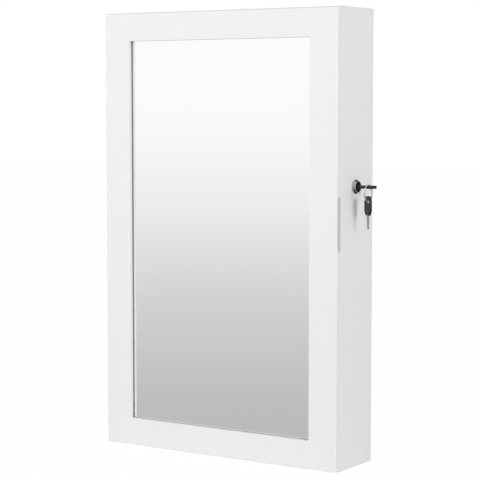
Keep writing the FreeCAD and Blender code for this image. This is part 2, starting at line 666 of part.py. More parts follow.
# Ring tray: an open-fronted velvet-covered tray in the right bay, filled with foam rolls that grip the rings.
tray_x = (f"{DIVIDER_RIGHT} + tray_room", f"{INNER_SIDE} - tray_room")
tray_z = ("(lock_height + tray_over_lock)", f"({INNER_TOP} - tray_headroom)")
tray = block("tray_blank", tray_x, inside_y, tray_z)
hollow_x = (f"{tray_x[0]} + tray_wall", f"{tray_x[1]} - tray_wall")
hollow_z = (f"{tray_z[0]} + tray_wall", f"{tray_z[1]} - tray_wall")
hollow_y = (f"{FITTINGS_FRONT} - overshoot", f"{LINER_FRONT} - tray_wall")
hollow = block("tray_hollow", hollow_x, hollow_y, hollow_z)
keep(cut("tray", tray, [hollow]), "ring_tray")
pitch = f"(({tray_z[1]} - {tray_z[0]} - 2 * tray_wall) / {ROLL_COUNT})"
roll_radius = f"({pitch} / 2 - roll_gap / 2)"
rolls = [
    rod(f"roll_{number}", "x", roll_radius, f"{hollow_x[0]} + roll_room",
        f"{LINER_FRONT} - tray_wall - roll_room - {roll_radius}", f"{hollow_z[0]} + {pitch} * {number + 0.5}",
        f"{hollow_x[1]} - ({hollow_x[0]}) - 2 * roll_room")
    for number in range(ROLL_COUNT)
]
keep(group("rolls", rolls), "ring_cushions")

# Necklace rail and its hooks: bent wire, the straight ends driven into the rail.
rail_front = f"({LINER_FRONT} - necklace_rail_thickness)"
rail_ends = (f"-{INNER_SIDE} + necklace_rail_room", "divider_left - necklace_rail_room")
hook_z = f"({NECKLACE_RAIL_TOP} - necklace_rail_size / 2)"
hook_pitch = f"(({rail_ends[1]} - ({rail_ends[0]}) - 2 * hook_margin) / {HOOK_COUNT - 1})"
BENT_UP = FreeCAD.Rotation(FreeCAD.Vector(0, -1, 0), FreeCAD.Vector(0, 0, -1), FreeCAD.Vector(1, 0, 0), "ZXY")
hooks = []
for number in range(HOOK_COUNT):
    x = f"{rail_ends[0]} + hook_margin + {hook_pitch} * {number}"
    stem_y = f"{rail_front} - hook_reach"
    stem = rod(f"stem_{number}", "y", "hook_wire", x, stem_y, hook_z, "hook_reach + hook_seat")
    bend = doc.addObject("Part::Torus", f"bend_{number}")
    bend.Placement = FreeCAD.Placement(FreeCAD.Vector(), BENT_UP)
    bind(bend, "Radius1", "hook_bend")
    bind(bend, "Radius2", "hook_wire")
    bend.Angle3 = 90
    place(bend, x, stem_y, f"{hook_z} + hook_bend")
    tip = rod(f"tip_{number}", "z", "hook_wire", x, f"{rail_front} - hook_reach - hook_bend",
              f"{hook_z} + hook_bend", "hook_tip")
    hooks.append(joined(f"hook_{number}", [stem, bend, tip]))
necklace_hooks = keep(group("hooks", hooks), "necklace_hooks")
rail_z = (f"{NECKLACE_RAIL_TOP} - necklace_rail_size", NECKLACE_RAIL_TOP)
necklace_rail = block("necklace_strip", rail_ends, (rail_front, LINER_FRONT), rail_z)
keep(cut("necklace", necklace_rail, hooks), "necklace_rail")

# Magnetic catch under the top panel: a plastic case screwed up into the panel, with the magnet in its front.
case_z = (f"{INNER_TOP} - catch_height", INNER_TOP)
magnet_z = f"({INNER_TOP} - catch_height / 2)"
magnet = block("magnet_block", (f"{CATCH_MIDDLE} - magnet_length / 2", f"{CATCH_MIDDLE} + magnet_length / 2"),
               (catch_front, f"{catch_front} + magnet_depth"),
               (f"{magnet_z} - magnet_height / 2", f"{magnet_z} + magnet_height / 2"))
case = block("case_blank", catch_x, (catch_front, f"{catch_front} + catch_depth"), case_z)
keep(cut("case", case, [magnet] + catch_screws), "catch_case")
keep(magnet, "catch_magnet")
keep(group("catch_fixings", catch_screws), "catch_screws")

# Door frame: two stiles and two rails, mitred, with a rebate behind for the glass and its backing.
door_edge = {"left": f"-({SIDE})", "right": SIDE}
opening_x = (f"(-({SIDE}) + stile_width)", f"({SIDE} - stile_width)")
opening_z = ("(door_reveal + rail_width)", f"({DOOR_TOP} - rail_width)")
rebate_x = (f"{opening_x[0]} - rebate_width", f"{opening_x[1]} + rebate_width")
rebate_z = (f"{opening_z[0]} - rebate_width", f"{opening_z[1]} + rebate_width")
members = {
    "left_stile": [(door_edge["left"], "door_reveal"), (opening_x[0], opening_z[0]), (opening_x[0], opening_z[1]),
                   (door_edge["left"], DOOR_TOP)],
    "right_stile": [(door_edge["right"], "door_reveal"), (door_edge["right"], DOOR_TOP), (opening_x[1], opening_z[1]),
                    (opening_x[1], opening_z[0])],
    "top_rail": [(opening_x[0], opening_z[1]), (opening_x[1], opening_z[1]), (door_edge["right"], DOOR_TOP),
                 (door_edge["left"], DOOR_TOP)],
    "bottom_rail": [(door_edge["left"], "door_reveal"), (door_edge["right"], "door_reveal"),
                    (opening_x[1], opening_z[0]), (opening_x[0], opening_z[0])],
}
outer_edges = {
    "left_stile": {"x": door_edge["left"]},
    "right_stile": {"x": door_edge["right"]},
    "top_rail": {"z": DOOR_TOP},
    "bottom_rail": {"z": "door_reveal"},
}
frame = {}
for name, outline in members.items():
    member = new_body(name + "_member")
    shape = new_sketch(member, "XZ_Plane", f"-{DOOR_BACK}")
    draw_outline(shape, outline)
    pad(member, shape, "door_thickness")
    rebate = new_sketch(member, "XZ_Plane", f"-{DOOR_BACK}")
    draw_rectangle(rebate, rebate_x, rebate_z)
    pocket(member, rebate, "door_thickness - glass_recess", backwards=True)
    front = edges_on(member, y=DOOR_FRONT, **outer_edges[name])
    front += edges_on(member, y=DOOR_BACK, **outer_edges[name])
    round_edges(member, front, "edge_round")
    frame[name] = member

# Finger pull: a scoop routed in the right stile's edge, open to the back, with a thin lip left in front.
pull = new_sketch(frame["right_stile"], "YZ_Plane", SIDE)
pull_z = ("pull_height - pull_length / 2", "pull_height + pull_length / 2")
draw_rectangle(pull, (f"{DOOR_FRONT} + pull_lip", f"{DOOR_BACK} + overshoot"), pull_z)
pocket(frame["right_stile"], pull, "pull_reach")
ends = [edges_on(frame["right_stile"], y=f"{DOOR_FRONT} + pull_lip", z=level) for level in pull_z]
round_edges(frame["right_stile"], ends[0] + ends[1], "pull_corner")

# Keeper: a bent steel bracket on the door's back, with a rung across its ears for the lock's hook to drop
# behind.
cam_x = f"({SIDE} - barrel_length - cam_gap - cam_thickness)"
keeper_middle = f"({cam_x} + cam_thickness / 2)"
rung_z = "(lock_height - cam_width / 2 - rung_room - rung_radius)"
rung_y = f"({LOCK_Y} - cam_reach + hook_thickness + rung_room + rung_radius)"
keeper_x = (f"{keeper_middle} - keeper_width / 2", f"{keeper_middle} + keeper_width / 2")
keeper_screws = [
    screw("keeper_screw", "-y", keeper_middle, f"{DOOR_BACK} + keeper_plate", f"{rung_z} {step} keeper_screw_offset")
    for step in ("-", "+")
]
base = block("keeper_base", keeper_x, (DOOR_BACK, f"{DOOR_BACK} + keeper_plate"),
             (f"{rung_z} - keeper_height / 2", f"{rung_z} + keeper_height / 2"))
ear_z = (f"{rung_z} - ear_height / 2", f"{rung_z} + ear_height / 2")
ears = [
    block("keeper_ear", span, (DOOR_BACK, f"{DOOR_BACK} + keeper_reach"), ear_z)
    for span in ((keeper_x[0], f"{keeper_x[0]} + keeper_plate"), (f"{keeper_x[1]} - keeper_plate", keeper_x[1]))
]
rung = rod("rung_bar", "x", "rung_radius", keeper_x[0], rung_y, rung_z, "keeper_width")
keep(cut("keeper_bracket", joined("keeper_bent", [base] + ears), [rung] + keeper_screws), "keeper")
keep(rung, "keeper_rung")

# Catch plate: a steel plate on the top rail's back, opposite the magnet.
plate_z = (f"{magnet_z} - catch_plate_height / 2", f"{magnet_z} + catch_plate_height / 2")
plate_y = (DOOR_BACK, f"{DOOR_BACK} + catch_plate_thickness")
catch_plate_screw = screw("plate_fixing", "-y", CATCH_MIDDLE, plate_y[1], magnet_z)
plate_blank = block("catch_plate_blank", (f"{CATCH_MIDDLE} - catch_plate_length / 2",
                                          f"{CATCH_MIDDLE} + catch_plate_length / 2"), plate_y, plate_z)
keep(cut("catch_plate_cut", plate_blank, [catch_plate_screw]), "catch_plate")
keep(group("fitting_screws", keeper_screws + [catch_plate_screw]), "door_fitting_screws")

# Door liner: velvet-covered board screwed over the backing and the frame's inner edge.
liner_x = (f"{rebate_x[0]} - door_liner_lap", f"{rebate_x[1]} + door_liner_lap")
liner_z = (f"{rebate_z[0]} - door_liner_lap", f"{rebate_z[1]} + door_liner_lap")
liner_y = (DOOR_BACK, f"{DOOR_BACK} + door_liner_thickness")
liner_screw_levels = (f"{liner_z[0]} + door_liner_screw_margin", "cabinet_height / 2",
                      f"{liner_z[1]} - door_liner_screw_margin")
liner_screws = [
    screw("liner_screw", "-y", x, liner_y[1], z)
    for x in (f"{liner_x[0]} + door_liner_lap / 2", f"{liner_x[1]} - door_liner_lap / 2")
    for z in liner_screw_levels
]
keep(cut("velvet_board", board("door_velvet", liner_x, liner_y, liner_z), liner_screws), "door_liner")
keep(group("liner_fixings", liner_screws), "door_liner_screws")

left_cuts = leaf_beds["door"] + door_side_screws + liner_screws[:3]
keep(cut("left_stile_cut", frame["left_stile"], left_cuts), "left_stile")
keep(cut("right_stile_cut", frame["right_stile"], keeper_screws + liner_screws[3:]), "right_stile")
keep(cut("top_rail_cut", frame["top_rail"], [catch_plate_screw]), "top_rail")
keep(frame["bottom_rail"], "bottom_rail")

# Mirror glass, silvered behind, and the board that backs it. Both sit in the frame's rebate.
glass_x = (f"{rebate_x[0]} + glass_room", f"{rebate_x[1]} - glass_room")
glass_z = (f"{rebate_z[0]} + glass_room", f"{rebate_z[1]} - glass_room")
glass_back = f"{DOOR_FRONT} + glass_recess + glass_thickness"
keep(board("glass", glass_x, (f"{DOOR_FRONT} + glass_recess", glass_back), glass_z), "mirror_glass")
keep(board("backing", glass_x, (glass_back, DOOR_BACK), glass_z), "mirror_backing")

# Door bumpers: clear soft discs stuck on the right stile's back, where it meets the box.
bumpers = [
    rod("bumper", "y", "bumper_radius", f"{SIDE} - panel_thickness / 2", DOOR_BACK, z, "bumper_thickness")
    for z in ("bumper_margin", "cabinet_height - bumper_margin")
]
keep(group("bumpers", bumpers), "door_bumpers")

# Earring board: a slotted velvet-covered board held off the door liner by four glued strips.
board_x = ("-earring_board_width / 2", "earring_board_width / 2")
board_top = f"({DOOR_TOP} - earring_board_headroom)"
board_z = (f"({board_top} - earring_board_height)", board_top)
spacer_y = (liner_y[1], f"{liner_y[1]} + spacer_depth")
strip_x = [(board_x[0], f"{board_x[0]} + spacer_width"), (f"{board_x[1]} - spacer_width", board_x[1])]
strip_z = [(board_z[0], f"{board_z[0]} + spacer_width"), (f"{board_z[1]} - spacer_width", board_z[1])]
strips = [block("upright_strip", span, spacer_y, board_z) for span in strip_x]
strips += [block("level_strip", (strip_x[0][1], strip_x[1][0]), spacer_y, span) for span in strip_z]
keep(group("spacers", strips), "earring_spacers")
board_y = (spacer_y[1], f"{spacer_y[1]} + earring_board_thickness")
column_pitch = f"(earring_board_width / {SLOT_COLUMNS})"
row_pitch = f"(earring_board_height / {SLOT_ROWS})"
slots = []
for column in range(SLOT_COLUMNS):
    for row in range(SLOT_ROWS):
        x = f"{board_x[0]} + {column_pitch} * {column + 0.5}"
        z = f"{board_z[0]} + {row_pitch} * {row + 0.5}"
        slot_x = (f"{x} - earring_slot_length / 2", f"{x} + earring_slot_length / 2")
        slot_z = (f"{z} - earring_slot_height / 2", f"{z} + earring_slot_height / 2")
        slots.append(block(f"slot_{column}_{row}", slot_x, board_y, slot_z))
keep(cut("earrings", block("earring_blank", board_x, board_y, board_z), slots), "earring_board")

# Door rack: a floor, a front board and two ends, glued to each other and to the door liner.
rack_x = ("-rack_width / 2", "rack_width / 2")
rack_y = (liner_y[1], f"({liner_y[1]} + rack_depth)")
rack_top = "(rack_bottom + rack_board)"
keep(board("rack_base", rack_x, rack_y, ("rack_bottom", rack_top)), "rack_floor")
keep(board("rack_lip", (f"{rack_x[0]} + rack_board", f"{rack_x[1]} - rack_board"),
           (f"{rack_y[1]} - rack_board", rack_y[1]), (rack_top, f"{rack_top} + rack_front_height")), "rack_front")
rack_sides = [
    block("rack_side", span, rack_y, (rack_top, f"{rack_top} + rack_end_height"))
    for span in ((rack_x[0], f"{rack_x[0]} + rack_board"), (f"{rack_x[1]} - rack_board", rack_x[1]))
]
keep(group("rack_sides", rack_sides), "rack_ends")

# Cam lock housing: a chromed flange outside the panel, a threaded barrel through it, drawn up by a nut inside.
flange_face = f"({SIDE} + flange_thickness)"
barrel_end = f"({SIDE} - barrel_length)"
bore = "plug_radius + plug_room"
housing = turned("housing", [
    (barrel_end, bore), (barrel_end, "barrel_radius"), (SIDE, "barrel_radius"), (SIDE, "flange_radius"),
    (f"{SIDE} + flange_thickness / 2", "flange_radius"), (flange_face, "flange_radius - flange_thickness / 2"),
    (flange_face, bore)], "0", LOCK_Y, "lock_height")
keep(housing, "lock_housing")
nut = new_body("hex_nut")
nut_face = new_sketch(nut, "YZ_Plane", INNER_SIDE)
half = "nut_width / 2"
corner = "nut_width / 2 / cos(30)"
draw_outline(nut_face, [
    (f"{LOCK_Y} + {half}", f"lock_height + {corner} / 2"), (LOCK_Y, f"lock_height + {corner}"),
    (f"{LOCK_Y} - {half}", f"lock_height + {corner} / 2"), (f"{LOCK_Y} - {half}", f"lock_height - {corner} / 2"),
    (LOCK_Y, f"lock_height - {corner}"), (f"{LOCK_Y} + {half}", f"lock_height - {corner} / 2")])
draw_circle(nut_face, LOCK_Y, "lock_height", "barrel_radius")
pad(nut, nut_face, "nut_thickness", backwards=True)
keep(nut, "lock_nut")

# Key blades: flat steel with one cut edge. The one in the lock lies level, the spare one hangs below.
head_start = f"({flange_face} + plug_lip + key_gap)"


def key_blade(name):
    """A blade in the key's own frame: +X from the head's shoulder to its outer end, flat in XY."""
    body = new_body(name)
    flat = new_sketch(body, "XY_Plane", "-blade_thickness / 2")
    back, edge = "blade_width / 2", "-blade_width / 2"
    draw_outline(flat, [
        ("blade_root", edge), ("blade_root", back), ("-blade_length + blade_corner", back),
        ("-blade_length", f"{back} - blade_corner"), ("-blade_length", f"{edge} + blade_point"),
        ("-blade_length + blade_point", edge), ("-blade_length + cut_start", edge),
        ("-blade_length + cut_start + cut_width / 2", f"{edge} + cut_depth"),
        ("-blade_length + cut_start + cut_width", edge)])
    pad(body, flat, "blade_thickness")
    return body


def key_head(name, blade):
    """A moulded head round the blade's root: shield shaped, with a long slot for the ring."""
    body = new_body(name)
    flat = new_sketch(body, "XY_Plane", "-head_thickness / 2")
    draw_outline(flat, [
        ("0", "-head_shoulder / 2"), ("shoulder_length", "-head_width / 2"), ("head_length", "-head_width / 2"),
        ("head_length", "head_width / 2"), ("shoulder_length", "head_width / 2"), ("0", "head_shoulder / 2")])
    pad(body, flat, "head_thickness")
    corners = edges_on(body, x="head_length", y="-head_width / 2")
    corners += edges_on(body, x="head_length", y="head_width / 2")
    round_edges(body, corners, "head_round")
    slot_x = ("head_length - slot_edge - slot_height", "head_length - slot_edge")
    slot_y = ("-slot_length / 2", "slot_length / 2")
    slot = new_sketch(body, "XY_Plane", "head_thickness / 2")
    draw_rectangle(slot, slot_x, slot_y)
    pocket(body, slot, "head_thickness")
    corners = [name for x in slot_x for y in slot_y for name in edges_on(body, x=x, y=y)]
    round_edges(body, corners, "slot_round")
    return cut(name + "_moulded", body, [blade])


def moved(name, piece, x, y, z, rotation):
    """A copy of a piece of the key, placed in the cabinet."""
    link = doc.addObject("Part::Compound", name)
    link.Links = [piece]
    link.Placement = FreeCAD.Placement(FreeCAD.Vector(), rotation)
    place(link, x, y, z)
    return link


LEVEL = FreeCAD.Rotation()
blade = key_blade("blade")
head = key_head("head", blade)
placed_blade = keep(moved("lock_blade", blade, head_start, LOCK_Y, "lock_height", LEVEL), "key_blade")
keep(moved("lock_head", head, head_start, LOCK_Y, "lock_height", LEVEL), "key_head")

# Plug: turns in the housing, slotted for the blade, with a square tang behind for the cam.
plug_round = turned("plug_round", [
    (f"{barrel_end}", "0"), (f"{barrel_end}", "plug_radius"), (f"{flange_face} + plug_room", "plug_radius"),
    (f"{flange_face} + plug_room", "plug_lip_radius"), (f"{flange_face} + plug_lip", "plug_lip_radius"),
    (f"{flange_face} + plug_lip", "0")], "0", LOCK_Y, "lock_height")
tang = block("tang", (f"{cam_x}", barrel_end), (f"{LOCK_Y} - tang_width / 2", f"{LOCK_Y} + tang_width / 2"),
             ("lock_height - tang_width / 2", "lock_height + tang_width / 2"))
keyway = block("keyway", (f"{head_start} - blade_length - blade_room", f"{head_start}"),
               (f"{LOCK_Y} - blade_width / 2 - blade_room", f"{LOCK_Y} + blade_width / 2 + blade_room"),
               ("lock_height - blade_thickness / 2 - blade_room", "lock_height + blade_thickness / 2 + blade_room"))
cam_screw = turned("cam_fixing", [
    (f"{cam_x} - cam_screw_head_thickness", "0"), (f"{cam_x} - cam_screw_head_thickness", "cam_screw_head"),
    (cam_x, "cam_screw_head"), (cam_x, "cam_screw_shank"), (f"{cam_x} + cam_screw_bite", "cam_screw_shank"),
    (f"{cam_x} + cam_screw_bite", "0")], "0", LOCK_Y, "lock_height")
keep(cut("plug", joined("plug_blank", [plug_round, tang]), [keyway, cam_screw]), "lock_plug")
keep(cam_screw, "cam_screw")

# Cam: a flat arm with a hook. It points up when unlocked; a quarter turn brings the hook down behind the rung.
cam = new_body("cam_arm")
arm = new_sketch(cam, "YZ_Plane", cam_x)
arm_y = (f"{LOCK_Y} - cam_width / 2", f"{LOCK_Y} + cam_width / 2")
draw_outline(arm, [
    (arm_y[0], "lock_height - cam_width / 2 - cam_heel"), (arm_y[1], "lock_height - cam_width / 2 - cam_heel"),
    (arm_y[1], "lock_height + cam_reach - hook_slope"), (f"{arm_y[1]} - hook_slope", "lock_height + cam_reach"),
    (f"{arm_y[0]} - hook_drop", "lock_height + cam_reach"),
    (f"{arm_y[0]} - hook_drop", "lock_height + cam_reach - hook_thickness"),
    (arm_y[0], "lock_height + cam_reach - hook_thickness")])
pad(cam, arm, "cam_thickness")
keep(cut("cam", cam, [tang]), "lock_cam")

# Key ring: a split ring of two flat coils, level with the front. It hangs on the slot's front end, and the
# spare key hangs on it, a little turned.
slot_middle = f"({head_start} + head_length - slot_edge - slot_height / 2)"
hang_y = f"({LOCK_Y} - (slot_length + head_width) / 4)"
ring_z = "(lock_height - ring_drop)"
ring = new_body("split_ring")
wire = new_sketch(ring, "XY_Plane")
wire_reach = ("ring_radius - ring_wire / 2", "ring_radius + ring_wire / 2")
draw_rectangle(wire, ("-ring_width / 2", "ring_width / 2"), wire_reach)
revolve(ring, wire, "H_Axis")
place(ring, slot_middle, hang_y, ring_z)
keep(ring, "key_ring")
spare_z = f"({ring_z} - ring_radius + ring_wire / 2 + spare_room + slot_edge - head_length)"
HANGING = FreeCAD.Rotation(FreeCAD.Vector(1, 1, 1), -120)
for piece, node in ((blade, "spare_key_blade"), (head, "spare_key_head")):
    upright = moved(node + "_upright", piece, "0", "0", "0", HANGING)
    spare = moved(node + "_hung", upright, slot_middle, hang_y, spare_z, FreeCAD.Rotation())
    bind(spare, "Placement.Rotation.Angle", "-spare_turn")
    keep(spare, node)

doc.recompute()
faults = [thing.Label for thing in doc.Objects if {"Invalid", "Error"} & set(thing.State)]
faults += [piece.Label for piece in subparts if piece.Shape.isNull() or not piece.Shape.isValid()]
if faults:
    raise RuntimeError("these pieces failed: " + ", ".join(faults))
os.makedirs("parts", exist_ok=True)
for piece in subparts:
    piece.Shape.exportStep(f"parts/{piece.Label}.step")
print(len(subparts), "sub-parts,", sum(len(piece.Shape.Solids) for piece in subparts), "solids")
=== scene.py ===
import math

import bmesh
import bpy
from mathutils import Matrix, Vector


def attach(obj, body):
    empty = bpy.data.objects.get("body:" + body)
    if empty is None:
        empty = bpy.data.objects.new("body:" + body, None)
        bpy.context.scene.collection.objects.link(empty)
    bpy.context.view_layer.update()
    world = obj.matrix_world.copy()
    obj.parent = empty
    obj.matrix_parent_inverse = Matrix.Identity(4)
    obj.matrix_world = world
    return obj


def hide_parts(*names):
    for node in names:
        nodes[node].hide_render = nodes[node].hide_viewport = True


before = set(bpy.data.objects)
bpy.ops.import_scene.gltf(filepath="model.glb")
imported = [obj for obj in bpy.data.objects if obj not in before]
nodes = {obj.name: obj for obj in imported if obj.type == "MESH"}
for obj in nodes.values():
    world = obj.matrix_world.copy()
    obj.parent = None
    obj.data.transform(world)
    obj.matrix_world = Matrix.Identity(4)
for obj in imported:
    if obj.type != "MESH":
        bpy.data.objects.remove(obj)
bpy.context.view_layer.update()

# Viewpoint: a long lens to the right of the cabinet, a little above its middle, as in the photograph.
# The lens is set for a square picture.
camera_place = Vector((1.2330, -1.8738, 0.4822))
camera_aim = Vector((-0.54573, 0.83365, -0.08490))
lens = bpy.data.cameras.new("long_lens")
lens.sensor_width = 36
lens.lens = 124.0
lens.clip_end = 60
camera = bpy.data.objects.new("camera", lens)
camera.location = camera_place
camera.rotation_euler = camera_aim.to_track_quat("-Z", "Y").to_euler()
bpy.context.scene.collection.objects.link(camera)
bpy.context.scene.camera = camera
bpy.context.scene.view_settings.view_transform = "Standard"


class Shade:
    """One value in a material's nodes. Sums, differences and products of them add the Math nodes."""

    def __init__(self, tree, socket=None):
        self.tree = tree
        self.socket = socket

    def add(self, kind, settings=None, inlets=None, outlet=0):
        """Any node: its settings first, a ramp's stops among them, then its sockets' values or links."""
        node = self.tree.nodes.new(kind)
        for name, value in (settings or {}).items():
            if name != "stops":
                setattr(node, name, value)
                continue
            ramp = node.color_ramp.elements
            while len(ramp) < len(value):
                ramp.new(1.0)
            for stop, (position, colour) in zip(ramp, value):
                stop.position = position
                stop.color = (*colour, 1.0) if isinstance(colour, tuple) else (colour, colour, colour, 1.0)
        for name, value in (inlets or {}).items():
            if isinstance(value, Shade):
                self.tree.links.new(value.socket, node.inputs[name])
            else:
                node.inputs[name].default_value = value
        return Shade(self.tree, node.outputs[outlet] if len(node.outputs) else None)

    def calculate(self, operation, first, second):
        return self.add("ShaderNodeMath", {"operation": operation}, {0: first, 1: second})

    def __add__(self, other):
        return self.calculate("ADD", self, other)

    __radd__ = __add__

    def __sub__(self, other):
        return self.calculate("SUBTRACT", self, other)

    def __rsub__(self, other):
        return self.calculate("SUBTRACT", other, self)

    def __mul__(self, other):
        return self.calculate("MULTIPLY", self, other)

    __rmul__ = __mul__


# Room: a white floor and soft studio light. Polished things see surroundings that are white above eye level
# and fall to grey below it, which is what the mirror shows, and a dark curtain far behind the cabinet, which
# darkens the chrome. The floor keeps a faint shadow.
world = bpy.data.worlds.new("studio")
world.use_nodes = True
world.node_tree.nodes.clear()
sky = Shade(world.node_tree)
heading = sky.add("ShaderNodeTexCoord")
height = sky.add("ShaderNodeSeparateXYZ", inlets={0: heading}, outlet=2)
depth = sky.add("ShaderNodeSeparateXYZ", inlets={0: heading}, outlet=1)
mirror_view = [(0.0, 0.16), (0.30, 0.41), (0.396, 0.495), (0.4097, 0.527), (0.4395, 0.660), (0.4695, 0.87),
               (0.494, 0.985), (0.53, 1.0)]
open_side = sky.add("ShaderNodeValToRGB", {"stops": mirror_view}, {0: height * 0.5 + 0.5})
curtain_folds = [(0.0, 1.0), (0.25, 1.0), (0.55, 0.05), (0.93, 0.03), (1.0, 0.9)]
curtain = sky.add("ShaderNodeValToRGB", {"stops": curtain_folds}, {0: depth})
surroundings = sky.add("ShaderNodeMix", {"data_type": "RGBA", "blend_type": "MULTIPLY"},
                       {0: 1.0, 6: open_side, 7: curtain}, outlet=2)
ray = {name: sky.add("ShaderNodeLightPath", outlet=name) for name in ("Is Camera Ray", "Is Glossy Ray")}
room_light = sky.add("ShaderNodeBackground", inlets={"Color": (1.0, 1.0, 1.0, 1.0), "Strength": 0.34})
seen_by_gloss = sky.add("ShaderNodeBackground", inlets={"Color": surroundings, "Strength": 1.0})
seen_by_camera = sky.add("ShaderNodeBackground", inlets={"Color": (1.0, 1.0, 1.0, 1.0), "Strength": 1.0})
lit = sky.add("ShaderNodeMixShader", inlets={0: ray["Is Glossy Ray"], 1: room_light, 2: seen_by_gloss})
shown = sky.add("ShaderNodeMixShader", inlets={0: ray["Is Camera Ray"], 1: lit, 2: seen_by_camera})
sky.add("ShaderNodeOutputWorld", inlets={"Surface": shown})
bpy.context.scene.world = world

floor_mesh = bpy.data.meshes.new("floor")
floor_mesh.from_pydata([(-8, -8, 0), (8, -8, 0), (8, 8, 0), (-8, 8, 0)], [], [(0, 1, 2, 3)])
floor = bpy.data.objects.new("floor", floor_mesh)
floor.location.z = -0.0005
bpy.context.scene.collection.objects.link(floor)
floor_paint = bpy.data.materials.new("white_floor")
floor_paint.use_nodes = True
floor_paint.node_tree.nodes.clear()
ground = Shade(floor_paint.node_tree)
ray = {name: ground.add("ShaderNodeLightPath", outlet=name) for name in ("Is Camera Ray", "Is Glossy Ray")}
matt = ground.add("ShaderNodeBsdfDiffuse", inlets={"Color": (1.0, 1.0, 1.0, 1.0)})
white = ground.add("ShaderNodeEmission", inlets={"Color": (1.0, 1.0, 1.0, 1.0), "Strength": 1.0})
clear = ground.add("ShaderNodeBsdfTransparent")
washed = ground.add("ShaderNodeMixShader", inlets={0: ray["Is Camera Ray"] * 0.985, 1: matt, 2: white})
open_below = ground.add("ShaderNodeMixShader", inlets={0: ray["Is Glossy Ray"], 1: washed, 2: clear})
ground.add("ShaderNodeOutputMaterial", inlets={"Surface": open_below})
floor_mesh.materials.append(floor_paint)


def soft_lamp(name, place, aim, size, watts):
    """A square lamp that polished things don't show."""
    lamp = bpy.data.lights.new(name, "AREA")
    lamp.size = size
    lamp.energy = watts
    stand = bpy.data.objects.new(name, lamp)
    stand.location = place
    stand.rotation_euler = (Vector(aim) - Vector(place)).to_track_quat("-Z", "Y").to_euler()
    stand.visible_glossy = False
    bpy.context.scene.collection.objects.link(stand)


soft_lamp("front_lamp", (-0.9, -2.6, 0.80), (0.0, 0.0, 0.30), 1.6, 32.2)
soft_lamp("side_lamp", (4.9, -1.55, 1.20), (0.19, 0.0, 0.30), 1.7, 124.0)


# Painted boards: fibreboard, sanded, primed and sprayed white, so it is smooth and satin with the faint
# orange peel of a sprayed finish. Sides, top and bottom are dowelled; the door's frame is mitred and glued.
def new_finish(name, base, roughness, metallic=0.0, **constants):
    """A material on one Principled shader. A single colour or number goes straight on its socket."""
    material = bpy.data.materials.new(name)
    material.use_nodes = True
    material.node_tree.nodes.clear()
    start = Shade(material.node_tree)
    where = start.add("ShaderNodeTexCoord", outlet="Object")
    parts = {"Base Color": base, "Roughness": roughness, "Metallic": metallic}
    parts = {socket: part(where) if callable(part) else part for socket, part in parts.items()}
    for word, value in constants.items():
        socket = word.replace("_", " ").title()
        parts[socket.replace("Ior", "IOR")] = value(where) if callable(value) else value
    surface = where.add("ShaderNodeBsdfPrincipled", inlets=parts)
    where.add("ShaderNodeOutputMaterial", inlets={"Surface": surface})
    return material


def cloud(where, scale, detail=2.0, stretch=(1.0, 1.0, 1.0)):
    """Soft noise between 0 and 1, in lumps of about 1/scale metres."""
    spread = where.add("ShaderNodeVectorMath", {"operation": "MULTIPLY"}, {0: where, 1: stretch})
    return where.add("ShaderNodeTexNoise", inlets={"Vector": spread, "Scale": scale, "Detail": detail})


def between(share, first, second):
    """A colour between two, by a share from 0 to 1."""
    settings = {"data_type": "RGBA"}
    return share.add("ShaderNodeMix", settings, {0: share, 6: (*first, 1.0), 7: (*second, 1.0)}, outlet=2)


def relief(bumps, depth):
    """Normals bumped by a height from 0 to 1, depth metres deep."""
    return bumps.add("ShaderNodeBump", inlets={"Strength": 1.0, "Distance": depth, "Height": bumps})


def dress(material, *names):
    """The CAD nodes keep their shape and take the material."""
    for name in names:
        mesh = nodes[name].data
        mesh.materials.clear()
        mesh.materials.append(material)


sprayed_white = new_finish(
    "sprayed_white",
    base=lambda where: between(cloud(where, 7, 3), (0.862, 0.858, 0.855), (0.885, 0.882, 0.879)),
    roughness=lambda where: 0.36 + 0.10 * cloud(where, 30, 3),
    normal=lambda where: relief(cloud(where, 700, 1), 0.000012),
)
dress(sprayed_white, "left_side_panel", "right_side_panel", "top_panel", "bottom_panel", "left_stile",
      "right_stile", "top_rail", "bottom_rail", "hanging_rail", "lower_back_rail", "back_panel")

# Mirror: float glass silvered behind, held in the frame's rebate by a hardboard backing. What one sees is the
# silver, so the piece is the silvered back of the glass, as far behind the frame's face as it shows there.
silvered_glass = new_finish("silvered_glass", base=(0.965, 0.972, 0.972, 1.0), metallic=1.0,
                            roughness=lambda where: 0.004 + 0.01 * cloud(where, 3, 2))
silver_mesh = bpy.data.meshes.new("mirror_silver")
silver_shape = bmesh.new()
bmesh.ops.create_cube(silver_shape, size=1.0)
silver_size = (0.301, 0.0004, 0.536)
silver_middle = (0.0, -0.0410, 0.300)
bmesh.ops.scale(silver_shape, vec=silver_size, verts=silver_shape.verts)
bmesh.ops.translate(silver_shape, vec=silver_middle, verts=silver_shape.verts)
silver_shape.to_mesh(silver_mesh)
silver_shape.free()
mirror_silver = bpy.data.objects.new("mirror_silver", silver_mesh)
bpy.context.scene.collection.objects.link(mirror_silver)
silver_mesh.materials.append(silvered_glass)
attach(mirror_silver, "mirror_door")
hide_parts("mirror_glass")
brown_hardboard = new_finish(
    "brown_hardboard",
    base=lambda where: between(cloud(where, 260, 4), (0.16, 0.085, 0.04), (0.26, 0.15, 0.08)),
    roughness=0.8,
    normal=lambda where: relief(cloud(where, 900, 2), 0.0001),
)
dress(brown_hardboard, "mirror_backing")

